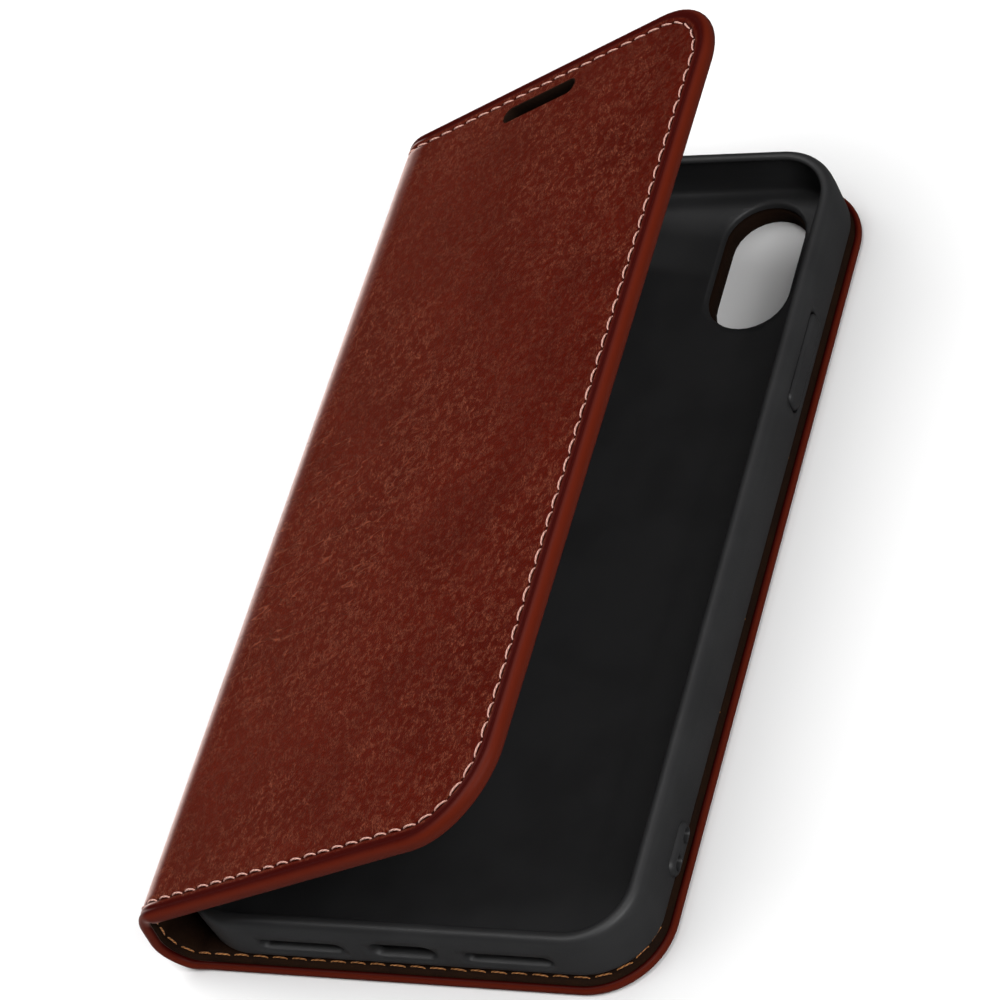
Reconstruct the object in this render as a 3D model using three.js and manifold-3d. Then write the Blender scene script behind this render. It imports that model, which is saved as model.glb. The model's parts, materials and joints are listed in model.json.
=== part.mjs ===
// A folding phone wallet case: a leather skin round a front cover, a spine and a back cover,
// a soft tray on the back cover, and card pockets inside the front cover.
//
// Frame, in millimetres: X points to the opening side, Y to the earpiece end, Z up.
// The outside of the back cover lies on Z = 0, and the origin is the middle of the tray's floor plan.
// The front cover stands partly open, which is the rest position of both folds.

import * as THREE from 'three';
import { mergeVertices } from 'three/addons/utils/BufferGeometryUtils.js';
import loadManifold from 'manifold-3d';

const wasm = await loadManifold();
wasm.setup();

const DEG = Math.PI / 180;

// ---- Driving dimensions ------------------------------------------------------------------------

const PHONE = { width: 75.7, length: 150.9, thickness: 8.3 };

const CLEARANCE = 0.3;
const LAYER_GAP = 0.05;

// Back cover, layers from the outside up.
const BACK = { right: 40.75, halfLength: 78.7, corner: 13, leatherTop: 0.9, rimTop: 2.15, seamInset: 1.95 };
const BACK_BOARD = { bottom: 1.0, top: 2.1 };
const BACK_LINING = { bottom: 2.2, top: 2.9 };
const ADHESIVE = { bottom: 2.95, top: 3.25, width: 66, length: 140, corner: 6 };

// Front cover, in its own frame: x runs out from the fold, z = 0 is the inside of the lining.
const FRONT = { start: 2.5, end: 80.9, halfLength: 79.7, corner: 15, thickness: 2.5, seamInset: 3.1 };
const FRONT_LEATHER = { bottom: 1.7, rimBottom: 0.55 };
const FRONT_LINING_TOP = 0.5;
const FRONT_BOARD = { bottom: 0.6, top: 1.25 };
const FRONT_FOAM = { bottom: 1.3, top: 1.65 };
const EARPIECE = { x: 37.5, y: 72.6, length: 18, width: 3 };

const RIM_WIDTH = 1.4;
const LINING_INSET = 0.7;

// Seams.
const THREAD_WIDTH = 0.45;
const OUTER_THREAD_DEPTH = 0.34;
const GROOVE_WIDTH = 0.8;
const GROOVE_DEPTH = 0.4;
const INNER_THREAD_HEIGHT = 0.3;
const THREAD_LIFT = 0.03;

// Spine section: two bend arcs joined by a straight, all measured on the middle of the sheet.
const OPENING_ANGLE = 25.7 * DEG;
const SPINE_LEAN = 82.2 * DEG;
const LOWER_BEND = { x: -37.2, z: 7.5, radius: 6.55 };
const UPPER_BEND = { x: -36.65, z: 11.9, radius: 6.5 };
const SPINE = { halfLength: 79.2, seamInset: 2.5 };
const SPINE_LEATHER = { outside: 0.95, inside: 0.05 };
const SPINE_LINING = { outside: -0.05, inside: -0.75 };
const LOWER_FOLD_SLIT = 4.0;
const UPPER_FOLD_SLIT = 2.5;

// Tray.
const TRAY = { wall: 1.8, corner: 11.3, bottom: 3.3, floor: 4.5, top: 13.6, edgeRound: 1.4 };
const BAY_SLACK = 0.1;
const LIP_OVERHANG = 0.65;
const BAY_CORNER = 9.6;
const PORT = { length: 11.4, height: 3.8, z: 7.8 };
const SPEAKER = { length: 14.8, height: 2.7, z: 7.4, offset: 18 };
const KEY_HEIGHT = 7.4;
const MUTE_CUT = { y: 49, length: 8, height: 3.4 };
const PAD = { height: 4.2, corner: 1.3, proud: 0.45 };
const SIDE_BUTTON = { y: 35.9, length: 18.4 };
const VOLUME_UP = { y: 33.5, length: 11 };
const VOLUME_DOWN = { y: 19.5, length: 11 };
const LANYARD = { y: -55.3, z: 5.2, length: 9.6, height: 3.6, proud: 0.8, hole: 0.8, pitch: 4.8 };
const CAMERA = { x: 24.5, y: 59, width: 14, length: 26 };

// Pockets on the inside of the front cover, nearest the lining first.
const POCKET_SHEET = 0.35;
const BILL_POCKET = { mouth: 14, bottom: -75.2, top: 62, layer: 0 };
const REAR_CARD_POCKET = { mouth: 27, bottom: -70, top: 24, layer: 1 };
const FRONT_CARD_POCKET = { mouth: 40, bottom: -70, top: 24, layer: 2 };
const POCKET_END = 76.6;
const POCKET_CORNER = 12;
const POCKET_SEAM_INSET = 2;

// Closure magnets and the steel plates they pull on.
const MAGNET = { length: 20, width: 10, edgeInset: 7, y: 32 };

const ARC_STEPS = 7;

// ---- Materials ---------------------------------------------------------------------------------

function finish(color, roughness, metalness = 0) {
  return new THREE.MeshStandardMaterial({ color, roughness, metalness });
}

const leather = finish(0x5c2018, 0.5);
const liningCloth = finish(0x28190c, 0.85);
const board = finish(0x8c7a60, 0.95);
const foam = finish(0xe6e1d6, 0.98);
const adhesive = finish(0xd6d6cf, 0.6);
const softPlastic = finish(0x262728, 0.55);
const paleThread = finish(0xd8b29c, 0.8);
const amberThread = finish(0xc98a35, 0.75);
const magnetMetal = finish(0x9aa0a4, 0.35, 1);

// ---- Solids ------------------------------------------------------------------------------------

function toSolid(geometry) {
  const bare = new THREE.BufferGeometry();
  bare.setAttribute('position', geometry.getAttribute('position').clone());
  if (geometry.index) {
    bare.setIndex(geometry.index.clone());
  }
  const welded = mergeVertices(bare, 1e-4);
  const mesh = new wasm.Mesh({
    numProp: 3,
    vertProperties: new Float32Array(welded.getAttribute('position').array),
    triVerts: new Uint32Array(welded.index.array),
  });
  mesh.merge();
  return new wasm.Manifold(mesh);
}

function toGeometry(solid) {
  const mesh = solid.getMesh();
  const indexed = new THREE.BufferGeometry();
  indexed.setAttribute('position', new THREE.BufferAttribute(new Float32Array(mesh.vertProperties), 3));
  indexed.setIndex(new THREE.BufferAttribute(new Uint32Array(mesh.triVerts), 1));
  const geometry = indexed.toNonIndexed();
  geometry.computeVertexNormals();
  return geometry;
}

function join(...geometries) {
  return toGeometry(wasm.Manifold.union(geometries.map(toSolid)));
}

function cut(geometry, ...tools) {
  return toGeometry(toSolid(geometry).subtract(wasm.Manifold.union(tools.map(toSolid))));
}

// A flat plate between two heights.
function plate(shape, bottom, top) {
  const geometry = new THREE.ExtrudeGeometry(shape, {
    depth: top - bottom,
    bevelEnabled: false,
    curveSegments: ARC_STEPS,
  });
  return geometry.translate(0, 0, bottom);
}

// A shape drawn in X and Z, run along Y between two stations.
function alongY(shape, from, to) {
  const geometry = plate(shape, 0, to - from);
  return geometry.rotateX(Math.PI / 2).translate(0, to, 0);
}

// A shape drawn in Y and Z, run along X between two stations.
function alongX(shape, from, to) {
  const geometry = plate(shape, 0, to - from);
  return geometry.rotateX(Math.PI / 2).rotateZ(Math.PI / 2).translate(from, 0, 0);
}

// ---- Outlines ----------------------------------------------------------------------------------

function roundedRect(width, height, radius, x = 0, y = 0) {
  const right = x + width / 2 - radius;
  const left = x - width / 2 + radius;
  const top = y + height / 2 - radius;
  const bottom = y - height / 2 + radius;
  const shape = new THREE.Shape();
  shape.moveTo(left, bottom - radius);
  shape.lineTo(right, bottom - radius);
  shape.absarc(right, bottom, radius, -Math.PI / 2, 0);
  shape.absarc(right, top, radius, 0, Math.PI / 2);
  shape.absarc(left, top, radius, Math.PI / 2, Math.PI);
  shape.absarc(left, bottom, radius, Math.PI, 1.5 * Math.PI);
  return shape;
}

// A slot is a rounded rectangle whose ends are nearly half circles.
function slot(length, width, x, y) {
  return roundedRect(length, width, Math.min(length, width) * 0.49, x, y);
}

// A cover panel: square at the fold, rounded at the two free corners.
function panel(start, end, halfLength, corner) {
  const shape = new THREE.Shape();
  shape.moveTo(start, -halfLength);
  shape.lineTo(end - corner, -halfLength);
  shape.absarc(end - corner, -halfLength + corner, corner, -Math.PI / 2, 0);
  shape.absarc(end - corner, halfLength - corner, corner, 0, Math.PI / 2);
  shape.lineTo(start, halfLength);
  return shape;
}

// A strip of a panel's border, open at the fold, between two distances in from the edge.
function border(start, end, halfLength, corner, outerInset, innerInset) {
  const turnX = end - corner;
  const turnY = halfLength - corner;
  const outer = corner - outerInset;
  const inner = corner - innerInset;
  const shape = new THREE.Shape();
  shape.moveTo(start, -halfLength + outerInset);
  shape.lineTo(turnX, -halfLength + outerInset);
  shape.absarc(turnX, -turnY, outer, -Math.PI / 2, 0);
  shape.absarc(turnX, turnY, outer, 0, Math.PI / 2);
  shape.lineTo(start, halfLength - outerInset);
  shape.lineTo(start, halfLength - innerInset);
  shape.lineTo(turnX, halfLength - innerInset);
  shape.absarc(turnX, turnY, inner, Math.PI / 2, 0, true);
  shape.absarc(turnX, -turnY, inner, 0, -Math.PI / 2, true);
  shape.lineTo(start, -halfLength + innerInset);
  return shape;
}

function seam(start, end, halfLength, corner, inset, width) {
  return border(start, end, halfLength, corner, inset - width / 2, inset + width / 2);
}

// ---- The spine's section -----------------------------------------------------------------------
// Distances run along the middle of the sheet, from the middle of the lower bend to the front cover.

const BACK_DIRECTION = 1.5 * Math.PI;
const SPINE_DIRECTION = Math.PI / 2 + SPINE_LEAN;
const FRONT_DIRECTION = Math.PI / 2 + OPENING_ANGLE;
const LOWER_MIDDLE = (BACK_DIRECTION + SPINE_DIRECTION) / 2;
const UPPER_MIDDLE = (SPINE_DIRECTION + FRONT_DIRECTION) / 2;

const LOWER_HALF = LOWER_BEND.radius * (LOWER_MIDDLE - SPINE_DIRECTION);
const UPPER_HALF = UPPER_BEND.radius * (SPINE_DIRECTION - UPPER_MIDDLE);
const BETWEEN_BENDS = Math.hypot(UPPER_BEND.x - LOWER_BEND.x, UPPER_BEND.z - LOWER_BEND.z);
const STRAIGHT = Math.sqrt(BETWEEN_BENDS ** 2 - (LOWER_BEND.radius - UPPER_BEND.radius) ** 2);
const SPINE_LENGTH = LOWER_HALF + STRAIGHT + UPPER_HALF;

function onBend(bend, angle, offset) {
  const radius = bend.radius + offset;
  return new THREE.Vector2(bend.x + radius * Math.cos(angle), bend.z + radius * Math.sin(angle));
}

// A point on the section: distance along it, and offset towards the outside.
function sectionPoint(distance, offset) {
  if (distance <= LOWER_HALF) {
    return onBend(LOWER_BEND, LOWER_MIDDLE - distance / LOWER_BEND.radius, offset);
  }
  const pastStraight = distance - LOWER_HALF - STRAIGHT;
  if (pastStraight >= 0) {
    return onBend(UPPER_BEND, SPINE_DIRECTION - pastStraight / UPPER_BEND.radius, offset);
  }
  const from = onBend(LOWER_BEND, SPINE_DIRECTION, offset);
  const to = onBend(UPPER_BEND, SPINE_DIRECTION, offset);
  return from.lerp(to, (distance - LOWER_HALF) / STRAIGHT);
}

// The outline of a sheet that follows the section between two distances.
function sectionStrip(from, to, outside, inside) {
  const steps = 2 * ARC_STEPS;
  const points = [];
  for (let i = 0; i <= steps; i += 1) {
    points.push(sectionPoint(from + ((to - from) * i) / steps, outside));
  }
  for (let i = steps; i >= 0; i -= 1) {
    points.push(sectionPoint(from + ((to - from) * i) / steps, inside));
  }
  return new THREE.Shape(points);
}

const LOWER_AXIS = onBend(LOWER_BEND, LOWER_MIDDLE, 0);
const UPPER_AXIS = onBend(UPPER_BEND, UPPER_MIDDLE, 0);

// Height of the inside of the front lining above the upper fold's axis, in the cover's own frame.
const AXIS_TO_OUTSIDE = UPPER_BEND.radius * (1 - Math.cos(UPPER_MIDDLE - FRONT_DIRECTION))
  + SPINE_LEATHER.outside;
const FRONT_BASE = AXIS_TO_OUTSIDE - FRONT.thickness;

// ---- Groups ------------------------------------------------------------------------------------

const group = new THREE.Group();

const frontCover = new THREE.Group();
frontCover.position.set(UPPER_AXIS.x, 0, UPPER_AXIS.y);
frontCover.rotation.y = -OPENING_ANGLE;
group.add(frontCover);

const frontStack = new THREE.Group();
frontStack.position.z = FRONT_BASE;
frontCover.add(frontStack);

function addPart(parent, name, geometry, material) {
  const mesh = new THREE.Mesh(geometry, material);
  mesh.name = name;
  parent.add(mesh);
}

// ---- Back cover --------------------------------------------------------------------------------

const BACK_START = LOWER_BEND.x;

function cameraCut(clearance) {
  const shape = slot(CAMERA.width + clearance, CAMERA.length + clearance, CAMERA.x, CAMERA.y);
  return plate(shape, -1, TRAY.floor + 1);
}

function backPanel(inset) {
  return panel(BACK_START, BACK.right - inset, BACK.halfLength - inset, BACK.corner - inset);
}

function backSeam(width) {
  return seam(BACK_START, BACK.right, BACK.halfLength, BACK.corner, BACK.seamInset, width);
}

function backMagnetPlace(side) {
  return { x: BACK.right - MAGNET.edgeInset - MAGNET.width / 2, y: side * MAGNET.y };
}

function backCoverLeather() {
  const skin = plate(backPanel(0), 0, BACK.leatherTop);
  const rimShape = border(BACK_START, BACK.right, BACK.halfLength, BACK.corner, 0, RIM_WIDTH);
  const rim = plate(rimShape, BACK.leatherTop - 0.1, BACK.rimTop);
  const bendShape = sectionStrip(
    -LOWER_HALF - 0.2, -LOWER_FOLD_SLIT, SPINE_LEATHER.outside, SPINE_LEATHER.inside,
  );
  const bend = alongY(bendShape, -BACK.halfLength, BACK.halfLength);
  const groove = plate(backSeam(GROOVE_WIDTH), -1, GROOVE_DEPTH);
  return cut(join(skin, rim, bend), groove, cameraCut(0));
}

function magnetWindow(place, bottom, top, clearance) {
  const shape = roundedRect(MAGNET.width + clearance, MAGNET.length + clearance, 1, place.x, place.y);
  return plate(shape, bottom, top);
}

function backBoard() {
  const sheet = plate(backPanel(RIM_WIDTH + CLEARANCE), BACK_BOARD.bottom, BACK_BOARD.top);
  const windows = [1, -1].map((side) => magnetWindow(backMagnetPlace(side), 0, BACK.rimTop + 1, 2 * CLEARANCE));
  return cut(sheet, ...windows, cameraCut(2 * CLEARANCE));
}

function backLining() {
  const sheet = plate(backPanel(LINING_INSET), BACK_LINING.bottom, BACK_LINING.top);
  return cut(sheet, cameraCut(0));
}

function trayAdhesive() {
  const sheet = plate(
    roundedRect(ADHESIVE.width, ADHESIVE.length, ADHESIVE.corner), ADHESIVE.bottom, ADHESIVE.top,
  );
  return cut(sheet, cameraCut(3));
}

addPart(group, 'back_cover_leather', backCoverLeather(), leather);
addPart(group, 'back_board', backBoard(), board);
addPart(group, 'back_lining', backLining(), liningCloth);
addPart(group, 'tray_adhesive', trayAdhesive(), adhesive);
addPart(
  group, 'back_outer_thread',
  plate(backSeam(THREAD_WIDTH), THREAD_LIFT, THREAD_LIFT + OUTER_THREAD_DEPTH), paleThread,
);
addPart(
  group, 'back_inner_thread',
  plate(
    backSeam(THREAD_WIDTH), BACK_LINING.top + THREAD_LIFT, BACK_LINING.top + THREAD_LIFT + INNER_THREAD_HEIGHT,
  ),
  amberThread,
);
for (const [name, side] of [['upper', 1], ['lower', -1]]) {
  const steel = magnetWindow(backMagnetPlace(side), BACK_BOARD.bottom, BACK_BOARD.top, 0);
  addPart(group, `back_plate_${name}`, steel, magnetMetal);
}

// ---- Tray --------------------------------------------------------------------------------------

const BAY_WIDTH = PHONE.width + 2 * BAY_SLACK;
const BAY_LENGTH = PHONE.length + 2 * BAY_SLACK;
const TRAY_WIDTH = PHONE.width + 2 * TRAY.wall;
const TRAY_LENGTH = PHONE.length + 2 * TRAY.wall;
const BAY_TOP = TRAY.floor + PHONE.thickness + LAYER_GAP;

function padShape(pad, clearance) {
  return roundedRect(
    pad.length + clearance, PAD.height + clearance, PAD.corner + clearance / 2, pad.y, KEY_HEIGHT,
  );
}

// Tools that reach through one long wall: side is 1 on the right and -1 on the left.
function throughWall(shape, side) {
  const inside = BAY_WIDTH / 2 - 1;
  const outside = TRAY_WIDTH / 2 + 2;
  return side > 0 ? alongX(shape, inside, outside) : alongX(shape, -outside, -inside);
}

function trayShell() {
  const round = TRAY.edgeRound;
  const outline = roundedRect(TRAY_WIDTH - 2 * round, TRAY_LENGTH - 2 * round, TRAY.corner - round);
  const shell = new THREE.ExtrudeGeometry(outline, {
    depth: TRAY.top - TRAY.bottom - 2 * round,
    bevelEnabled: true,
    bevelThickness: round,
    bevelSize: round,
    bevelSegments: 3,
    curveSegments: ARC_STEPS,
  });
  return shell.translate(0, 0, TRAY.bottom + round);
}

function lanyardBoss() {
  const shape = slot(LANYARD.length, LANYARD.height, LANYARD.y, LANYARD.z);
  return alongX(shape, BAY_WIDTH / 2 + 0.3, TRAY_WIDTH / 2 + LANYARD.proud);
}

function lanyardHole(side) {
  const shape = new THREE.Shape();
  shape.absarc(LANYARD.y + (side * LANYARD.pitch) / 2, LANYARD.z, LANYARD.hole, 0, 2 * Math.PI);
  return throughWall(shape, 1);
}

function bottomSlot(hole, x) {
  return alongY(slot(hole.length, hole.height, x, hole.z), -TRAY_LENGTH / 2 - 2, -BAY_LENGTH / 2 + 1);
}

function phoneTray() {
  const lipWidth = PHONE.width - 2 * LIP_OVERHANG;
  const lipLength = PHONE.length - 2 * LIP_OVERHANG;
  const solid = join(trayShell(), lanyardBoss());
  return cut(
    solid,
    plate(roundedRect(BAY_WIDTH, BAY_LENGTH, BAY_CORNER), TRAY.floor, BAY_TOP),
    plate(roundedRect(lipWidth, lipLength, BAY_CORNER - LIP_OVERHANG), BAY_TOP - 1, TRAY.top + 1),
    bottomSlot(PORT, 0),
    bottomSlot(SPEAKER, SPEAKER.offset),
    bottomSlot(SPEAKER, -SPEAKER.offset),
    throughWall(padShape(SIDE_BUTTON, 2 * CLEARANCE), 1),
    throughWall(padShape(VOLUME_UP, 2 * CLEARANCE), -1),
    throughWall(padShape(VOLUME_DOWN, 2 * CLEARANCE), -1),
    throughWall(slot(MUTE_CUT.length, MUTE_CUT.height, MUTE_CUT.y, KEY_HEIGHT), -1),
    lanyardHole(1),
    lanyardHole(-1),
    cameraCut(2 * CLEARANCE),
  );
}

function pressPad(pad, side) {
  const inside = BAY_WIDTH / 2;
  const outside = TRAY_WIDTH / 2 + PAD.proud;
  const shape = padShape(pad, 0);
  return side > 0 ? alongX(shape, inside, outside) : alongX(shape, -outside, -inside);
}

addPart(group, 'phone_tray', phoneTray(), softPlastic);
addPart(group, 'side_button_pad', pressPad(SIDE_BUTTON, 1), softPlastic);
addPart(group, 'volume_up_pad', pressPad(VOLUME_UP, -1), softPlastic);
addPart(group, 'volume_down_pad', pressPad(VOLUME_DOWN, -1), softPlastic);

// ---- Spine -------------------------------------------------------------------------------------

const SPINE_FROM = LOWER_FOLD_SLIT;
const SPINE_TO = SPINE_LENGTH - UPPER_FOLD_SLIT;
const SEAM_Y = SPINE.halfLength - SPINE.seamInset;

function spineThread(side, outside, inside, width) {
  const shape = sectionStrip(SPINE_FROM, SPINE_TO, outside, inside);
  return alongY(shape, side * SEAM_Y - width / 2, side * SEAM_Y + width / 2);
}

function spineLeather() {
  const shape = sectionStrip(SPINE_FROM, SPINE_TO, SPINE_LEATHER.outside, SPINE_LEATHER.inside);
  const sheet = alongY(shape, -SPINE.halfLength, SPINE.halfLength);
  const grooveShape = sectionStrip(
    SPINE_FROM - 0.2, SPINE_TO + 0.2, SPINE_LEATHER.outside + 0.5, SPINE_LEATHER.outside - GROOVE_DEPTH,
  );
  const grooves = [1, -1].map((side) => (
    alongY(grooveShape, side * SEAM_Y - GROOVE_WIDTH / 2, side * SEAM_Y + GROOVE_WIDTH / 2)
  ));
  return cut(sheet, ...grooves);
}

function spineLining() {
  const halfLength = SPINE.halfLength - LINING_INSET;
  const shape = sectionStrip(SPINE_FROM, SPINE_TO, SPINE_LINING.outside, SPINE_LINING.inside);
  return alongY(shape, -halfLength, halfLength);
}

addPart(group, 'spine_leather', spineLeather(), leather);
addPart(group, 'spine_lining', spineLining(), liningCloth);
for (const [name, side] of [['top', 1], ['bottom', -1]]) {
  const outerTop = SPINE_LEATHER.outside - THREAD_LIFT;
  const innerTop = SPINE_LINING.inside - THREAD_LIFT;
  const outerThread = spineThread(side, outerTop, outerTop - OUTER_THREAD_DEPTH, THREAD_WIDTH);
  const innerThread = spineThread(side, innerTop, innerTop - INNER_THREAD_HEIGHT, THREAD_WIDTH);
  addPart(group, `spine_outer_thread_${name}`, outerThread, paleThread);
  addPart(group, `spine_inner_thread_${name}`, innerThread, amberThread);
}

// ---- Front cover -------------------------------------------------------------------------------

function earpieceCut(clearance) {
  const shape = slot(EARPIECE.length + clearance, EARPIECE.width + clearance, EARPIECE.x, EARPIECE.y);
  return plate(shape, -1, FRONT.thickness + 1);
}

function frontPanel(inset) {
  return panel(FRONT.start, FRONT.end - inset, FRONT.halfLength - inset, FRONT.corner - inset);
}

function frontSeam(width) {
  return seam(FRONT.start, FRONT.end, FRONT.halfLength, FRONT.corner, FRONT.seamInset, width);
}

function coverMagnetPlace(side) {
  return { x: FRONT.end - MAGNET.edgeInset - MAGNET.width / 2, y: side * MAGNET.y };
}

function frontCoverLeather() {
  const skin = plate(frontPanel(0), FRONT_LEATHER.bottom, FRONT.thickness);
  const rimShape = border(FRONT.start, FRONT.end, FRONT.halfLength, FRONT.corner, 0, RIM_WIDTH);
  const rim = plate(rimShape, FRONT_LEATHER.rimBottom, FRONT_LEATHER.bottom + 0.1);
  const groove = plate(frontSeam(GROOVE_WIDTH), FRONT.thickness - GROOVE_DEPTH, FRONT.thickness + 1);
  return cut(join(skin, rim), groove, earpieceCut(0));
}

function frontBoard() {
  const sheet = plate(frontPanel(RIM_WIDTH + CLEARANCE), FRONT_BOARD.bottom, FRONT_BOARD.top);
  const windows = [1, -1].map((side) => (
    magnetWindow(coverMagnetPlace(side), 0, FRONT.thickness, 2 * CLEARANCE)
  ));
  return cut(sheet, ...windows, earpieceCut(2 * CLEARANCE));
}

function frontFoam() {
  const sheet = plate(frontPanel(RIM_WIDTH + CLEARANCE), FRONT_FOAM.bottom, FRONT_FOAM.top);
  return cut(sheet, earpieceCut(2 * CLEARANCE));
}

function frontLining() {
  return cut(plate(frontPanel(LINING_INSET), 0, FRONT_LINING_TOP), earpieceCut(0));
}

// A pocket sheet: its mouth faces the fold, and its free corners are rounded.
function pocketPanel(pocket) {
  const middle = (pocket.top + pocket.bottom) / 2;
  const halfLength = (pocket.top - pocket.bottom) / 2;
  const top = -LAYER_GAP - pocket.layer * (POCKET_SHEET + LAYER_GAP);
  const sheet = plate(panel(pocket.mouth, POCKET_END, halfLength, POCKET_CORNER), top - POCKET_SHEET, top);
  return sheet.translate(0, middle, 0);
}

function cardPocketThread() {
  const pocket = FRONT_CARD_POCKET;
  const middle = (pocket.top + pocket.bottom) / 2;
  const halfLength = (pocket.top - pocket.bottom) / 2;
  const shape = seam(
    pocket.mouth, POCKET_END, halfLength, POCKET_CORNER, POCKET_SEAM_INSET, THREAD_WIDTH,
  );
  const top = -(pocket.layer + 1) * (POCKET_SHEET + LAYER_GAP) - THREAD_LIFT;
  return plate(shape, top - INNER_THREAD_HEIGHT, top).translate(0, middle, 0);
}

addPart(frontStack, 'front_cover_leather', frontCoverLeather(), leather);
addPart(frontStack, 'front_foam', frontFoam(), foam);
addPart(frontStack, 'front_board', frontBoard(), board);
addPart(frontStack, 'front_lining', frontLining(), liningCloth);
addPart(
  frontStack, 'front_outer_thread',
  plate(
    frontSeam(THREAD_WIDTH), FRONT.thickness - THREAD_LIFT - OUTER_THREAD_DEPTH, FRONT.thickness - THREAD_LIFT,
  ),
  paleThread,
);
addPart(
  frontStack, 'front_inner_thread',
  plate(frontSeam(THREAD_WIDTH), -THREAD_LIFT - INNER_THREAD_HEIGHT, -THREAD_LIFT), amberThread,
);
addPart(frontStack, 'bill_pocket_panel', pocketPanel(BILL_POCKET), liningCloth);
addPart(frontStack, 'card_pocket_rear_panel', pocketPanel(REAR_CARD_POCKET), liningCloth);
addPart(frontStack, 'card_pocket_front_panel', pocketPanel(FRONT_CARD_POCKET), liningCloth);
addPart(frontStack, 'card_pocket_thread', cardPocketThread(), amberThread);
for (const [name, side] of [['upper', 1], ['lower', -1]]) {
  const magnet = magnetWindow(coverMagnetPlace(side), FRONT_BOARD.bottom, FRONT_BOARD.top, 0);
  addPart(frontStack, `cover_magnet_${name}`, magnet, magnetMetal);
}

export default group;
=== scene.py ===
"""A folding phone wallet case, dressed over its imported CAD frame.

Lengths in this file are millimetres until a mesh is made, when MM turns them into metres.
The leather skin and the lining are built flat, as (along, across, offset), and then wrapped round the
section of the spine: along runs from the back cover's free edge round the spine to the front cover's.
"""

import json
import math

import bmesh
import bpy
import numpy as np
from mathutils import Matrix, Vector


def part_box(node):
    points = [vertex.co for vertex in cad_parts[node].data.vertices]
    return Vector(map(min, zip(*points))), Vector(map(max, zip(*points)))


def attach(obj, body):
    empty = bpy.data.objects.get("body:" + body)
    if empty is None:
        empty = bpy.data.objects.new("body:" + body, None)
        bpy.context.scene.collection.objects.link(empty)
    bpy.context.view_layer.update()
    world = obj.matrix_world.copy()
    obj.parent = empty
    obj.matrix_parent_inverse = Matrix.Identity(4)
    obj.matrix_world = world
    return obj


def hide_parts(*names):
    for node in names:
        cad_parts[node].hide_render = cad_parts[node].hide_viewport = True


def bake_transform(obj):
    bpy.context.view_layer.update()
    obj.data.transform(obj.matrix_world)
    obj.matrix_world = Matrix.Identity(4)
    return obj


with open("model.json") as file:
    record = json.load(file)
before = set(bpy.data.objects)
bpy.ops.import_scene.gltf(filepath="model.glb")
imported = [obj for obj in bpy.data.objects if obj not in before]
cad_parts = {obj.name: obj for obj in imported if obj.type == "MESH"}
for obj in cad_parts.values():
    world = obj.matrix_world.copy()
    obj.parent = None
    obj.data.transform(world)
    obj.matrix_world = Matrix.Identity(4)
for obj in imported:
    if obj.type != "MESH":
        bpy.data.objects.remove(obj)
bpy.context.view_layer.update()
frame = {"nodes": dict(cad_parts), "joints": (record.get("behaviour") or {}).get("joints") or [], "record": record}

MM = 0.001

# ---- Dimensions

JOINTS = {joint["name"]: joint for joint in frame["joints"]}

HALF_SHEET = 0.95  # from the sheet's middle line to either face
LOWER_RADIUS, UPPER_RADIUS = 6.55, 6.5
SPINE_LEAN = math.radians(82.2)
COVER_OPEN = math.radians(-JOINTS["spine_fold"]["range_deg"][0] - JOINTS["cover_fold"]["range_deg"][0])

FRONT_REACH = 80.9
FRONT_CORNER = 15.0
BACK_CORNER = 13.0
FRONT_THICKNESS = 2.5
BACK_THICKNESS = 2.9

SKIN, LINING_SKIN = 0.75, 0.45
BORDER = 7.0  # from a cover's edge to its flat grid
GRID_STEP = 2.4
PUFF, PUFF_WAVES = 0.16, 0.05  # how far the padding swells the front cover
SEAM_INSET = 2.6  # the seam's place in the border profiles, which are scaled to the three below
SPINE_SEAM, FRONT_SEAM, BACK_SEAM = 2.5, 3.1, 1.95
OUTER_PITCH, INNER_PITCH, POCKET_PITCH = 3.35, 3.5, 3.0


def box_mm(node):
    """A CAD node's lowest and highest corner, in millimetres."""
    low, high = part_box(node)
    return np.array(low) / MM, np.array(high) / MM


BACK_RIGHT, BACK_HALF, _ = box_mm("back_cover_leather")[1]
SPINE_HALF = box_mm("spine_leather")[1][1]
FRONT_HALF = box_mm("front_cover_leather")[1][1]


# ---- The folded section


def smooth(t):
    """0 below 0, 1 above 1, and an even slope between."""
    t = np.clip(t, 0.0, 1.0)
    return t * t * (3 - 2 * t)


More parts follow.
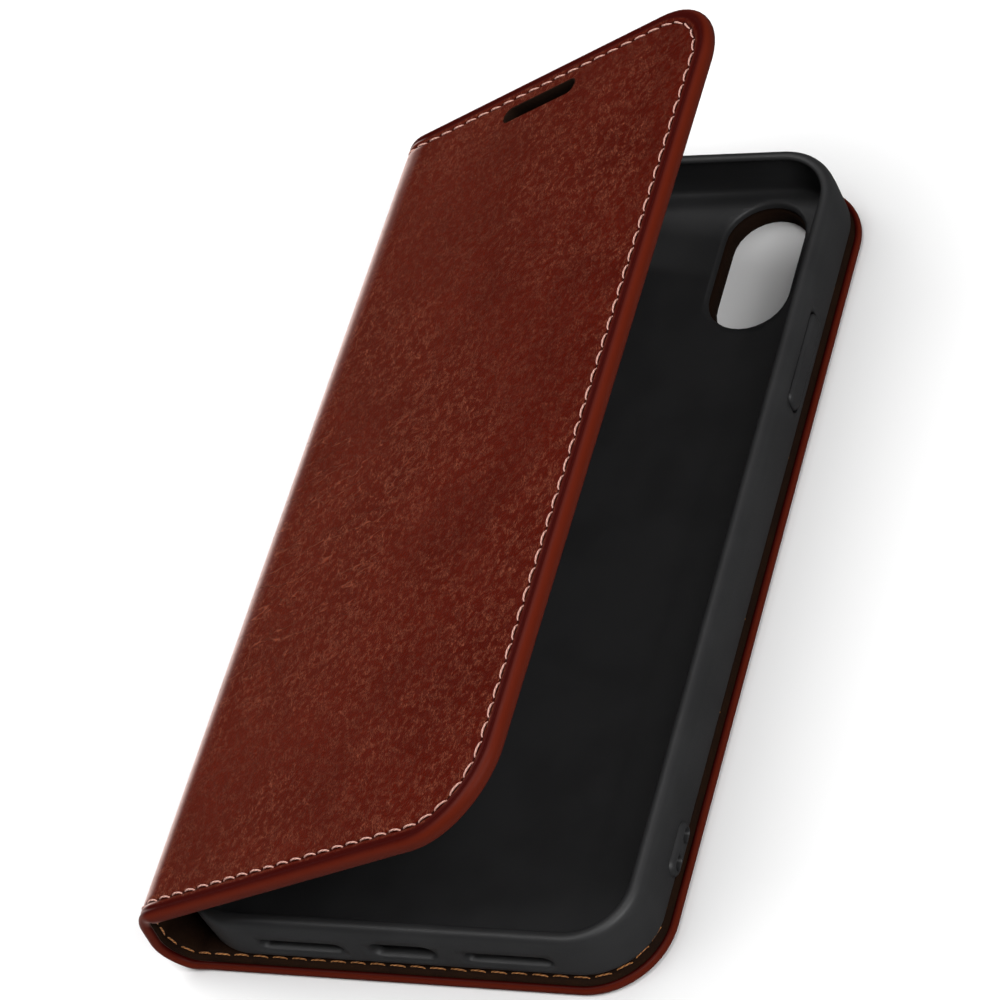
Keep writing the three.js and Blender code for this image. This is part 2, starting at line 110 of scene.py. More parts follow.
class Section:
    """The middle line of the sheet, seen from its end: back cover, bend, spine, bend, front cover.

    Distances start at the middle of the lower bend. An offset is positive towards the outside.
    """

    def __init__(self):
        self.back = math.radians(270)
        self.spine = math.radians(90) + SPINE_LEAN
        self.front = math.radians(90) + COVER_OPEN
        lower_middle = (self.back + self.spine) / 2
        upper_middle = (self.spine + self.front) / 2
        self.lower_centre = self.centre("spine_fold", LOWER_RADIUS, lower_middle)
        self.upper_centre = self.centre("cover_fold", UPPER_RADIUS, upper_middle)
        self.lower_start = -LOWER_RADIUS * (lower_middle - self.spine)
        self.lower_end = -self.lower_start
        between = self.upper_centre - self.lower_centre
        self.upper_start = self.lower_end + float(np.hypot(*between))
        self.upper_end = self.upper_start + UPPER_RADIUS * (self.spine - self.front)
        self.middle = (self.lower_end + self.upper_start) / 2
        reach_to_bend = UPPER_RADIUS * math.sin(upper_middle - self.front)
        self.front_edge = self.upper_end + FRONT_REACH - reach_to_bend
        self.back_edge = self.lower_start - (BACK_RIGHT - self.lower_centre[0])

    @staticmethod
    def centre(joint, radius, direction):
        x, _, z = np.array(JOINTS[joint]["pos_m"]) / MM
        return np.array([x - radius * math.cos(direction), z - radius * math.sin(direction)])

    def place(self, along, across, offset):
        """Points of the row frame for points of the flat sheet."""
        along = np.asarray(along, float)
        in_lower = np.clip(along, self.lower_start, self.lower_end) - self.lower_start
        in_upper = np.clip(along, self.upper_start, self.upper_end) - self.upper_start
        lower = self.back - in_lower / LOWER_RADIUS
        upper = self.spine - in_upper / UPPER_RADIUS
        angle = lower - in_upper / UPPER_RADIUS
        on_back = np.minimum(along - self.lower_start, 0)
        on_spine = np.clip(along, self.lower_end, self.upper_start) - self.lower_end
        on_front = np.maximum(along - self.upper_end, 0)
        x = self.lower_centre[0] + LOWER_RADIUS * np.cos(lower)
        z = self.lower_centre[1] + LOWER_RADIUS * np.sin(lower)
        x = x - on_back + on_spine * math.sin(self.spine)
        z = z - on_spine * math.cos(self.spine)
        x = x + UPPER_RADIUS * (np.cos(upper) - math.cos(self.spine))
        z = z + UPPER_RADIUS * (np.sin(upper) - math.sin(self.spine))
        x = x + on_front * math.sin(self.front)
        z = z - on_front * math.cos(self.front)
        x = x + offset * np.cos(angle)
        z = z + offset * np.sin(angle)
        return np.stack([x, np.asarray(across, float) + 0 * x, z], axis=1)

    def panel_share(self, along):
        """0 on the spine and 1 on either cover, changing inside the bends."""
        back = smooth((self.lower_start + 3.5 - along) / 3.5)
        front = smooth((along - self.upper_end + 3.0) / 3.0)
        return back, front


section = Section()


def cover_shares(forward, reach):
    return section.panel_share(to_sheet(forward, reach))


def real_inset(forward, reach, shown):
    """How far in from the edge a seam-scaled distance lies: the seam's own distance is SEAM_INSET."""
    back, front = cover_shares(forward, reach)
    seam = SPINE_SEAM + front * (FRONT_SEAM - SPINE_SEAM) + back * (BACK_SEAM - SPINE_SEAM)
    return np.where(shown < SEAM_INSET, shown * seam / SEAM_INSET, shown - SEAM_INSET + seam)


def scaled_inset(forward, reach, distance):
    """The seam-scaled distance for a real distance from the edge."""
    seam = real_inset(forward, reach, SEAM_INSET)
    return np.where(distance < seam, distance * SEAM_INSET / seam, distance - seam + SEAM_INSET)


def to_sheet(forward, reach):
    """Distance along the sheet for a reach of either cover, both measured from the middle of the spine."""
    return section.middle + reach if forward else section.middle - reach


def to_row(forward, points):
    """Flat points of a cover, as (reach, across, offset), in the row frame."""
    reach, across, offset = points.T
    along = to_sheet(forward, reach)
    back, front = section.panel_share(along)
    half = SPINE_HALF + front * (FRONT_HALF - SPINE_HALF) + back * (BACK_HALF - SPINE_HALF)
    return section.place(along, across * half / PANELS[forward].half, offset)


# ---- Panels


class Panel:
    """A flat plate: reach runs from 0 to length, across from -half to half.

    The corners at the far end are rounded. The near end is square and open, unless both_ends is set.
    """

    def __init__(self, length, half, corner, both_ends=False):
        self.length, self.half, self.corner, self.both_ends = length, half, corner, both_ends

    def edge_distance(self, reach, across):
        """How far inside the outline a point lies."""
        past_x = reach - (self.length - self.corner)
        past_y = np.abs(across) - (self.half - self.corner)
        in_corner = (past_x > 0) & (past_y > 0)
        straight = np.minimum(self.length - reach, self.half - np.abs(across))
        return np.where(in_corner, self.corner - np.hypot(past_x, past_y), straight)

    def seam_parts(self, inset):
        """Along a seam near the border: the straight side, one corner, and half of the whole."""
        straight = self.length - self.corner
        turn = math.pi / 2 * (self.corner - inset)
        return straight, turn, straight + turn + (self.half - self.corner)

    def seam_distance(self, reach, across, inset):
        """Distance along a seam near the border, starting at the near end of the low side."""
        straight, _, half_way = self.seam_parts(inset)
        past_x = np.maximum(reach - straight, 1e-6)
        past_y = np.abs(across) - (self.half - self.corner)
        angle = np.arctan2(past_x, np.maximum(past_y, 0)) * (self.corner - inset)
        low = np.where(reach < straight, reach, straight + angle)
        low = np.where((past_y < 0) & (reach >= straight), half_way - np.abs(across), low)
        return np.where(across < 0, low, 2 * half_way - low)

    def seam_point(self, distance, inset):
        """(reach, across, outward normal) at a distance along a seam."""
        straight, turn, half_way = self.seam_parts(inset)
        radius = self.corner - inset
        sign = -1 if distance <= half_way else 1
        left = min(distance, 2 * half_way - distance)
        if left <= straight:
            return left, sign * (self.half - inset), (0.0, float(sign))
        if left <= straight + turn:
            angle = (left - straight) / radius
            x, y = math.sin(angle), math.cos(angle)
            return straight + radius * x, sign * (self.half - self.corner + radius * y), (x, sign * y)
        across = sign * (half_way - left)
        return self.length - inset, across, (1.0, 0.0)

    def grid(self, inset, reach_steps, across_step, corner_steps=8):
        """Grid points whose border lies at an inset, and the outward normals, as (nu, nv) arrays."""
        radius = self.corner - inset
        share = np.linspace(0, 1, corner_steps + 1)[1:]
        base_u = [reach_steps, np.full(corner_steps, self.length - self.corner)]
        turn_u = [np.zeros(len(reach_steps)), share]
        if self.both_ends:
            base_u.insert(0, np.full(corner_steps, self.corner))
            turn_u.insert(0, -share[::-1])
        base_u, turn_u = np.concatenate(base_u), np.concatenate(turn_u)
        flat = self.half - self.corner
        count = max(2, round(2 * flat / across_step))
        middle = np.linspace(-flat, flat, count + 1)
        base_v = np.concatenate([np.full(corner_steps, -flat), middle, np.full(corner_steps, flat)])
        turn_v = np.concatenate([-share[::-1], np.zeros(count + 1), share])
        a, b = np.meshgrid(turn_u, turn_v, indexing="ij")
        normal_u = a * np.sqrt(1 - b * b / 2)
        normal_v = b * np.sqrt(1 - a * a / 2)
        u = base_u[:, None] + radius * normal_u
        v = base_v[None, :] + radius * normal_v
        return u, v, normal_u, normal_v


def steps(low, high, size):
    """Even stations from low to high, about size apart."""
    return np.linspace(low, high, max(1, round((high - low) / size)) + 1)


def joined(*runs):
    """Stations of several runs that share their ends."""
    parts = [runs[0]] + [run[1:] for run in runs[1:]]
    return np.concatenate(parts)


def border_path(nu, nv, closed):
    """Grid indices round the border, from the near end of the low side."""
    low = [(i, 0) for i in range(nu)]
    far = [(nu - 1, j) for j in range(1, nv)]
    high = [(i, nv - 1) for i in range(nu - 2, -1, -1)]
    near = [(0, j) for j in range(nv - 2, 0, -1)] if closed else []
    return low + far + high + near


def level(height):
    """A flat surface for build_plate."""
    return lambda u, v: height + 0 * u


def build_plate(panel, inset, reach_steps, across_step, profile, top, bottom, corner_steps=8):
    """A closed plate: a top grid, a border that follows the profile, and a bottom grid.

    profile(reach, across) gives a list of (distance from the edge, offset) from the top grid's border
    round to the bottom grid's, as arrays over the border points. Returns vertices and faces.
    """
    u, v, normal_u, normal_v = panel.grid(inset, reach_steps, across_step, corner_steps)
    nu, nv = u.shape
    path = border_path(nu, nv, panel.both_ends)
    rows = np.array([i for i, _ in path])
    columns = np.array([j for _, j in path])
    bu, bv = u[rows, columns], v[rows, columns]
    bn, bm = normal_u[rows, columns], normal_v[rows, columns]
    vertices = [np.stack([u.ravel(), v.ravel(), top(u, v).ravel()], axis=1)]
    rings = [rows * nv + columns]
    count = nu * nv
    for distance, offset in profile(bu, bv):
        out = inset - distance
        vertices.append(np.stack([bu + bn * out, bv + bm * out, offset + 0 * bu], axis=1))
        rings.append(count + np.arange(len(path)))
        count += len(path)
    vertices.append(np.stack([u.ravel(), v.ravel(), bottom(u, v).ravel()], axis=1))
    rings.append(count + rows * nv + columns)
    faces = []
    for start in (0, count):
        for i in range(nu - 1):
            for j in range(nv - 1):
                a = start + i * nv + j
                faces.append((a, a + nv, a + nv + 1, a + 1))
    last = len(path) if panel.both_ends else len(path) - 1
    for first, second in zip(rings, rings[1:]):
        for k in range(last):
            n = (k + 1) % len(path)
            faces.append((first[k], second[k], second[n], first[n]))
    if not panel.both_ends:
        for j in range(nv - 1):
            faces.append((j, j + 1, count + j + 1, count + j))
        faces.append(tuple(int(ring[0]) for ring in rings))
        faces.append(tuple(int(ring[-1]) for ring in rings))
    return np.concatenate(vertices), faces


# ---- Meshes


def link(name, data):
    """A new object in the scene."""
    obj = bpy.data.objects.new(name, data)
    bpy.context.scene.collection.objects.link(obj)
    return obj


def make_object(name, points, faces, material, smooth_shade=True):
    """A mesh object from points in millimetres, with its normals outward."""
    mesh = bpy.data.meshes.new(name)
    mesh.from_pydata((np.asarray(points) * MM).tolist(), [], [tuple(map(int, f)) for f in faces])
    tidy_mesh(mesh, smooth_shade)
    if material:
        mesh.materials.append(material)
    return link(name, mesh)


def tidy_mesh(mesh, smooth_shade=True):
    """Outward normals, and flat shading only across real corners."""
    bm = bmesh.new()
    bm.from_mesh(mesh)
    bmesh.ops.recalc_face_normals(bm, faces=bm.faces)
    for face in bm.faces:
        face.smooth = smooth_shade
    for edge in bm.edges:
        if len(edge.link_faces) == 2 and edge.calc_face_angle(0.0) > math.radians(50):
            edge.smooth = False
    bm.to_mesh(mesh)
    bm.free()


def combine(obj, other, operation):
    """Joins or cuts obj with another closed object, which is used up."""
    modifier = obj.modifiers.new("combine", "BOOLEAN")
    modifier.object = other
    modifier.operation = operation
    modifier.solver = "EXACT"
    with bpy.context.temp_override(object=obj, active_object=obj):
        bpy.ops.object.modifier_apply(modifier=modifier.name)
    data = other.data
    bpy.data.objects.remove(other)
    bpy.data.meshes.remove(data)


def flat_points(obj):
    """An object's vertices in millimetres."""
    points = np.empty(len(obj.data.vertices) * 3)
    obj.data.vertices.foreach_get("co", points)
    return points.reshape(-1, 3) / MM


def set_points(obj, points):
    obj.data.vertices.foreach_set("co", (points * MM).ravel())
    obj.data.update()


def store(obj, name, values, kind="FLOAT"):
    """A value for each vertex that the materials read."""
    attribute = obj.data.attributes.new(name, kind, "POINT")
    key = "value" if kind == "FLOAT" else "vector"
    attribute.data.foreach_set(key, np.asarray(values, np.float32).ravel())


def loft(outline, rows, closed):
    """Points and faces round an anticlockwise outline: rows are (how far out, height).

    When closed, the last row joins the first. When not, both ends get a cap.
    """
    ring = np.array(outline)
    tangent = np.roll(ring, -1, axis=0) - np.roll(ring, 1, axis=0)
    normal = np.stack([tangent[:, 1], -tangent[:, 0]], axis=1)
    normal /= np.linalg.norm(normal, axis=1)[:, None]
    n, m = len(ring), len(rows)
    points = [(x, y, height) for out, height in rows for x, y in ring + normal * out]
    faces = [] if closed else [tuple(range(n))]
    for r in range(m if closed else m - 1):
        s = (r + 1) % m
        faces += [(r * n + k, r * n + (k + 1) % n, s * n + (k + 1) % n, s * n + k) for k in range(n)]
    if not closed:
        faces.append(tuple(range((m - 1) * n, m * n)))
    return points, faces


def cutter(outline, rows):
    return make_object("cutter", *loft(outline, rows, closed=False), None, smooth_shade=False)


def slot_outline(x, y, length, width, corner=None):
    """A rounded slot as a list of points."""
    corner = min(length, width) / 2 if corner is None else corner
    corner_steps = 8
    centres = [(1, 1, 0), (-1, 1, 90), (-1, -1, 180), (1, -1, 270)]
    points = []
    for sx, sy, start in centres:
        for k in range(corner_steps + 1):
            angle = math.radians(start + 90 * k / corner_steps)
            px = x + sx * (length / 2 - corner) + corner * math.cos(angle)
            py = y + sy * (width / 2 - corner) + corner * math.sin(angle)
            if not points or math.hypot(px - points[-1][0], py - points[-1][1]) > 1e-4:
                points.append((px, py))
    return points


# ---- Node helpers


class Nodes:
    """Short ways to add and link the nodes of a tree."""

    def __init__(self, tree):
        self.tree = tree

    def feed(self, socket, value):
        if isinstance(value, bpy.types.NodeSocket):
            self.tree.links.new(value, socket)
        elif isinstance(value, tuple) and len(value) == 3 and socket.type == "RGBA":
            socket.default_value = (*value, 1)
        else:
            socket.default_value = value

    def node(self, kind, inputs=None, **settings):
        node = self.tree.nodes.new(kind)
        for key, value in settings.items():
            setattr(node, key, value)
        for key, value in (inputs or {}).items():
            self.feed(node.inputs[key], value)
        return node

    def math(self, operation, a, b=0.0):
        return self.node("ShaderNodeMath", {0: a, 1: b}, operation=operation).outputs[0]

    def times(self, a, b):
        return self.math("MULTIPLY", a, b)

    def plus(self, a, b):
        return self.math("ADD", a, b)

    def attribute(self, name, output="Fac"):
        return self.node("ShaderNodeAttribute", attribute_name=name).outputs[output]

    def scaled(self, vector, scale):
        return self.node("ShaderNodeMapping", {"Vector": vector, "Scale": scale}).outputs[0]

    def stretched(self, vector, long, wide, turn):
        """The vector in features long by wide millimetres, turned on the sheet."""
        inputs = {"Vector": vector, "Rotation": (0.0, 0.0, turn), "Scale": (long, wide, 1.0)}
        return self.node("ShaderNodeMapping", inputs, vector_type="TEXTURE").outputs[0]

    def noise(self, vector, scale, detail=3.0, roughness=0.5):
        inputs = {"Vector": vector, "Scale": scale, "Detail": detail, "Roughness": roughness}
        return self.node("ShaderNodeTexNoise", inputs).outputs["Fac"]

    def ridges(self, vector, detail, width):
        """1 on thin wandering lines, where a noise crosses its middle value."""
        return self.band(self.noise(vector, 1.0, detail), 0.5, width)

    def cells(self, vector, scale, feature="F1"):
        inputs = {"Vector": vector, "Scale": scale}
        return self.node("ShaderNodeTexVoronoi", inputs, feature=feature).outputs["Distance"]

    def ramp(self, value, from_low, from_high, to_low=0.0, to_high=1.0):
        inputs = {0: value, 1: from_low, 2: from_high, 3: to_low, 4: to_high}
        return self.node("ShaderNodeMapRange", inputs, interpolation_type="SMOOTHSTEP").outputs[0]

    def band(self, value, centre, width):
        """1 at the centre, falling to 0 at width either side."""
        away = self.math("ABSOLUTE", self.math("SUBTRACT", value, centre))
        return self.ramp(away, 0.0, width, 1.0, 0.0)

    def mix(self, factor, a, b):
        return self.node("ShaderNodeMix", {0: factor, 6: a, 7: b}, data_type="RGBA").outputs[2]

    def warp(self, vector, scale, amount):
        """The vector moved about by a coloured noise."""
        inputs = {"Vector": vector, "Scale": scale, "Detail": 2.0}
        move = self.node("ShaderNodeTexNoise", inputs).outputs["Color"]
        for operation, inputs in (
            ("SUBTRACT", {1: (0.5, 0.5, 0.5)}),
            ("SCALE", {"Scale": amount}),
        ):
            move = self.node("ShaderNodeVectorMath", {0: move, **inputs}, operation=operation).outputs[0]
        return self.node("ShaderNodeVectorMath", {0: vector, 1: move}, operation="ADD").outputs[0]

    def own_place(self):
        return self.node("ShaderNodeTexCoord").outputs["Object"]

    def place_mm(self):
        place = self.node("ShaderNodeNewGeometry").outputs["Position"]
        return self.scaled(place, (1 / MM, 1 / MM, 1 / MM))

    def bump(self, height, depth):
        """A bump whose full height is depth, in millimetres."""
        return self.node("ShaderNodeBump", {"Height": height, "Distance": depth * MM}).outputs[0]


class Paint(Nodes):
    """A procedural material."""

    def __init__(self, name, display):
        self.material = bpy.data.materials.new(name)
        self.material.use_nodes = True
        self.material.diffuse_color = (*display, 1)
        super().__init__(self.material.node_tree)
        self.shader = next(n for n in self.tree.nodes if n.type == "BSDF_PRINCIPLED")

    def cover(self, tone, color, mask, strength):
        """A colour laid over the tone where the mask is 1."""
        return self.mix(self.times(mask, strength), tone, color)

    def finish(self, color, roughness, normal=None, **extra):
        if normal is not None:
            extra["Normal"] = normal
        for key, value in {"Base_Color": color, "Roughness": roughness, **extra}.items():
            self.feed(self.shader.inputs[key.replace("_", " ")], value)
        return self.material


def srgb(red, green, blue):
    """A colour given in display values of 0 to 255, as linear light."""
    def linear(value):
        value = value / 255
        return value / 12.92 if value <= 0.04045 else ((value + 0.055) / 1.055) ** 2.4
    return tuple(linear(value) for value in (red, green, blue))


# ---- Materials


LEATHER_DEEP, LEATHER_DARK = srgb(44, 5, 2), srgb(71, 12, 2)
LEATHER_MID, LEATHER_PALE = srgb(79, 16, 4), srgb(144, 76, 54)
ROLL_OUTER, ROLL_INNER = srgb(88, 27, 13), srgb(54, 6, 3)
LEATHER_SHINE = 0.05


def leather_material():
    """Reddish-brown grained leather with a smooth turned edge and a dark line of painted shade along the seam.
    Painted shade also darkens the edge's crease and the stitch holes, and painted highlights and sheen lighten the
    grain, the creases and the bends by the spine.
    """
    p = Paint("leather", srgb(92, 33, 22))
    sheet = p.attribute("sheet", "Vector")
    edge = p.attribute("edge")
    seam = p.attribute("seam")
    split = p.node("ShaderNodeSeparateXYZ", {0: sheet})
    along, across = split.outputs["X"], split.outputs["Y"]
    flesh = p.ramp(edge, 1.7, 2.1)

    lively = p.ramp(p.noise(sheet, 0.03, 2.0), 0.38, 0.6)
    strokes = p.ridges(p.stretched(p.warp(sheet, 0.25, 1.0), 0.42, 1.5, 0.28), 2.0, 0.034)
    short = p.ridges(p.stretched(p.warp(sheet, 0.5, 0.4), 0.34, 0.9, -0.3), 1.0, 0.045)
    strokes = p.math("MAXIMUM", strokes, p.times(short, 0.7))
    broken = p.ramp(p.noise(sheet, 0.7, 2.0), 0.44, 0.56)
    strokes = p.times(strokes, broken)
    pebble = p.ramp(p.cells(p.warp(sheet, 0.5, 1.6), 1.5, "DISTANCE_TO_EDGE"), 0.0, 0.22)
    wear = p.times(p.ramp(along, 24.0, 62.0, 1.0, 0.0), p.band(across, -12.0, 42.0))
    folds = p.ridges(p.stretched(p.warp(sheet, 0.2, 1.8), 24.0, 4.2, 0.12), 2.0, 0.020)
    folds = p.times(folds, p.ramp(wear, 0.0, 0.5, 0.15, 1.0))
    folds = p.times(folds, p.ramp(p.noise(sheet, 0.12, 3.0), 0.38, 0.5))
    broad = p.noise(sheet, 0.22, 3.0)

    tone = p.mix(p.ramp(p.noise(sheet, 0.05, 3.0), 0.3, 0.7), LEATHER_DARK, LEATHER_MID)
    tone = p.cover(tone, LEATHER_DEEP, p.math("SUBTRACT", 1.0, pebble), 0.35)
    # Pale grain strokes: partly the leather's own burnished tone, partly painted highlight on the edges of the
    # wrinkles.
    tone = p.mix(p.times(strokes, p.ramp(lively, 0.0, 1.0, 0.42, 0.78)), tone, LEATHER_PALE)
    # Pale lines along the creases: painted highlight on the crease ridges, over their bump.
    tone = p.cover(tone, LEATHER_PALE, folds, 0.5)
    # Painted light: a slight pale wash over the back cover and the spine, fading out across the front cover away
    # from the fold.
    tone = p.mix(p.ramp(along, 20.0, 95.0, 0.06, 0.0), tone, LEATHER_PALE)
    tone = p.mix(flesh, p.mix(p.ramp(edge, 0.15, 1.0), ROLL_OUTER, ROLL_INNER), tone)
    # Painted shade in the crease between the turned edge and the flat cover.
    crease = p.band(edge, 1.45, 0.38)
    tone = p.cover(tone, srgb(50, 4, 2), crease, 0.5)
    # Painted shade in the groove that the seam presses into the skin.
    groove = p.band(edge, SEAM_INSET, 0.42)
    tone = p.cover(tone, srgb(30, 5, 3), groove, 0.5)
    # Painted shade in the stitch holes; the bump also sinks them.
    hole_place = p.math("PINGPONG", p.math("DIVIDE", seam, OUTER_PITCH), 0.5)
    hole = p.times(p.ramp(hole_place, 0.02, 0.10, 1.0, 0.0), p.band(edge, SEAM_INSET, 0.42))
    tone = p.cover(tone, srgb(14, 3, 2), hole, 0.65)

    # Painted sheen: on the spine and its two bends the colour turns pale pink where the surface is seen at a
    # glancing angle, weaker on the turned edge.
    on_fold = p.times(p.ramp(along, section.upper_end - 0.5, section.upper_end + 2.5, 1.0, 0.0),
                     p.ramp(along, section.lower_start - 2.5, section.lower_start + 0.5))
    glancing = p.node("ShaderNodeLayerWeight", {"Blend": 0.5}).outputs["Facing"]
    glow = p.times(p.ramp(glancing, 0.52, 1.0, 0.0, 0.9), on_fold)
    glow = p.times(glow, p.ramp(edge, 1.0, 2.4, 0.2, 1.0))
    tone = p.mix(glow, tone, srgb(252, 218, 210))

    rough = p.ramp(broad, 0.3, 0.7, 0.38, 0.48)
    grain = p.plus(p.times(pebble, 0.4), p.times(strokes, 0.8))
    grain = p.plus(grain, broad)
    grain = p.plus(grain, p.times(folds, 2.2))
    grain = p.times(grain, p.plus(p.times(flesh, 0.93), 0.07))
    grain = p.math("SUBTRACT", grain, p.times(hole, 2.0))
    normal = p.bump(grain, 0.10)
    return p.finish(tone, rough, normal, Specular_IOR_Level=LEATHER_SHINE)


def lining_material():
    """Dark brown brushed lining."""
    p = Paint("lining", srgb(40, 24, 14))
    sheet = p.attribute("sheet", "Vector")
    edge = p.attribute("edge")
    nap = p.noise(sheet, 3.2, 4.0, 0.7)
    cloud = p.noise(sheet, 0.16, 4.0, 0.6)
    tone = p.mix(p.ramp(cloud, 0.3, 0.7), srgb(27, 13, 6), srgb(36, 20, 9))
    tone = p.cover(tone, srgb(62, 38, 20), p.ramp(nap, 0.45, 0.8), 0.35)
    # Painted shade in the groove along the lining's seam.
    tone = p.cover(tone, srgb(16, 8, 4), p.band(edge, SEAM_INSET, 0.5), 0.4)
    normal = p.bump(p.plus(nap, p.times(cloud, 0.6)), 0.07)
    return p.finish(tone, p.ramp(cloud, 0.3, 0.7, 0.72, 0.9), normal, Specular_IOR_Level=0.1)


def pocket_material():
    """Dark brown smooth leather cloth of the card pockets."""
    p = Paint("pocket", srgb(48, 28, 18))
    sheet = p.attribute("sheet", "Vector")
    edge = p.attribute("edge")
    pebble = p.cells(p.warp(sheet, 0.8, 0.8), 1.7)
    cloud = p.noise(sheet, 0.09, 3.0)
    tone = p.mix(p.ramp(cloud, 0.3, 0.7), srgb(48, 27, 17), srgb(54, 31, 20))
    tone = p.cover(tone, srgb(26, 13, 7), p.ramp(pebble, 0.2, 0.8), 0.4)
    # Painted shade along the stitch lines, where the seams press in.
    tone = p.cover(tone, srgb(18, 9, 5), p.band(edge, 2.0, 0.45), 0.45)
    normal = p.bump(p.times(pebble, -1.0), 0.05)
    return p.finish(tone, p.ramp(cloud, 0.3, 0.7, 0.45, 0.6), normal, Specular_IOR_Level=0.4)


def plastic_material():
    """Matte black moulded soft plastic."""
    p = Paint("soft_plastic", srgb(40, 40, 41))
    place = p.place_mm()
    fine = p.noise(place, 5.0, 3.0, 0.6)
    cloud = p.noise(place, 0.08, 3.0)
    tone = p.mix(p.ramp(cloud, 0.35, 0.65), srgb(39, 39, 40), srgb(44, 44, 45))
    # Painted shade: holes, slots, gaps and inside corners turn near black where the surface is closed in (ambient
    # occlusion).
    open_sky = p.node("ShaderNodeAmbientOcclusion", {"Distance": 2.2 * MM}, samples=6).outputs["AO"]
    tone = p.mix(p.ramp(open_sky, 0.25, 0.75, 0.9, 0.0), tone, srgb(6, 6, 6))
    normal = p.bump(fine, 0.012)
    return p.finish(tone, p.ramp(fine, 0.3, 0.7, 0.46, 0.54), normal, Specular_IOR_Level=0.45)


def thread_material(name, light, dark):
    """Twisted two-ply thread, with painted shade where the plies meet: light is its lit colour and dark its shaded
    one.
    """
    p = Paint(name, light)
    twist = p.attribute("twist")
    ply = p.math("SINE", p.times(twist, 2 * math.pi))
    ply = p.ramp(ply, -0.9, 0.5)
    fuzz = p.noise(p.place_mm(), 6.0, 2.0)
    # Painted shade along the twist, between the plies.
    tone = p.mix(p.times(ply, p.ramp(fuzz, 0.2, 0.7, 0.75, 1.0)), dark, light)
    return p.finish(tone, 0.62, p.bump(ply, 0.05), Sheen_Weight=0.2)


def board_material():
    """Grey-brown pressed board."""
    p = Paint("board", srgb(140, 122, 96))
    fibres = p.noise(p.scaled(p.own_place(), (1200, 400, 1200)), 1.0, 5.0, 0.7)
    tone = p.mix(fibres, srgb(118, 102, 80), srgb(160, 142, 115))
    return p.finish(tone, 0.92, p.bump(fibres, 0.05))


def foam_material():
    """Pale fine-celled padding."""
    p = Paint("foam", srgb(230, 225, 214))
    cell = p.cells(p.own_place(), 1500.0)
    tone = p.mix(cell, srgb(236, 232, 222), srgb(200, 194, 180))
    return p.finish(tone, 0.95, p.bump(cell, 0.08))


def adhesive_material():
    """Milky double-sided pad."""
    p = Paint("adhesive", srgb(214, 214, 207))
    cloud = p.noise(p.own_place(), 90.0, 4.0)
    tone = p.mix(cloud, srgb(206, 206, 198), srgb(224, 224, 218))
    return p.finish(tone, p.ramp(cloud, 0.3, 0.7, 0.45, 0.65), p.bump(cloud, 0.03))


def steel_material():
    """Plated steel with a fine brushed finish."""
    p = Paint("plated_steel", srgb(154, 160, 164))
    brushed = p.noise(p.scaled(p.own_place(), (4000, 200, 4000)), 1.0, 3.0)
    tone = p.mix(brushed, srgb(140, 146, 150), srgb(176, 181, 184))
    return p.finish(tone, p.ramp(brushed, 0.3, 0.7, 0.25, 0.42), p.bump(brushed, 0.01), Metallic=1.0)


LEATHER = leather_material()
LINING = lining_material()
POCKET = pocket_material()
PLASTIC = plastic_material()
PALE_THREAD = thread_material("pale_thread", srgb(222, 172, 158), srgb(178, 124, 110))
AMBER_THREAD = thread_material("amber_thread", srgb(222, 150, 78), srgb(140, 78, 28))
HIDDEN = {
    "board": board_material(),
    "foam": foam_material(),
    "adhesive": adhesive_material(),
    "magnet_metal": steel_material(),
}

# ---- Skin and lining

# True is the front cover with the spine, and False is the back cover.
PANELS = {
    True: Panel(section.front_edge - section.middle, FRONT_HALF, FRONT_CORNER),
    False: Panel(section.middle - section.back_edge, BACK_HALF, BACK_CORNER),
}
COVER_SEAM = {True: FRONT_SEAM, False: BACK_SEAM}


def reach_stations(forward):
    """Fine stations through the bend and coarse ones on the flat cover."""
    panel = PANELS[forward]
    bend_end = section.upper_end - section.middle if forward else section.middle - section.lower_start
    return joined(
        steps(0, bend_end + 1.5, 0.55),
        steps(bend_end + 1.5, bend_end + 6, 1.2),
        steps(bend_end + 6, panel.length - panel.corner, GRID_STEP),
    )


def inner_offset(forward, reach):
    """Offset of the inside surface of the lining."""
    back, front = cover_shares(forward, reach)
    share, thickness = (front, FRONT_THICKNESS) if forward else (back, BACK_THICKNESS)
    return -HALF_SHEET - share * (thickness - 2 * HALF_SHEET)


def roll_bottom(forward, reach):
    """Offset of the inside of the turned edge: thin on the back cover, thick on the front."""
    back, front = cover_shares(forward, reach)
    return -0.85 - 0.85 * front + 0.08 * back


def lining_offset(forward, reach, shown):
    """Offset of the lining's surface: it slopes to the turned edge near the border."""
    full = inner_offset(forward, reach)
    near = roll_bottom(forward, reach) + 0.05
    return near + (full - near) * smooth((shown - 1.2) / 2.2)


def cover_puff(forward, reach, across):
    """How far the padding swells the front cover's skin."""
    if not forward:
        return 0.0 * reach
    _, front = cover_shares(forward, reach)
    edge = PANELS[forward].edge_distance(reach, across)
    waves = np.sin(reach * 0.093 + 1.3) * np.sin(across * 0.061 + 0.4)
    waves = waves + 0.6 * np.sin(reach * 0.17 - across * 0.11 + 2.0)
    return front * smooth((edge - 3.6) / 9.0) * (PUFF + PUFF_WAVES * waves)


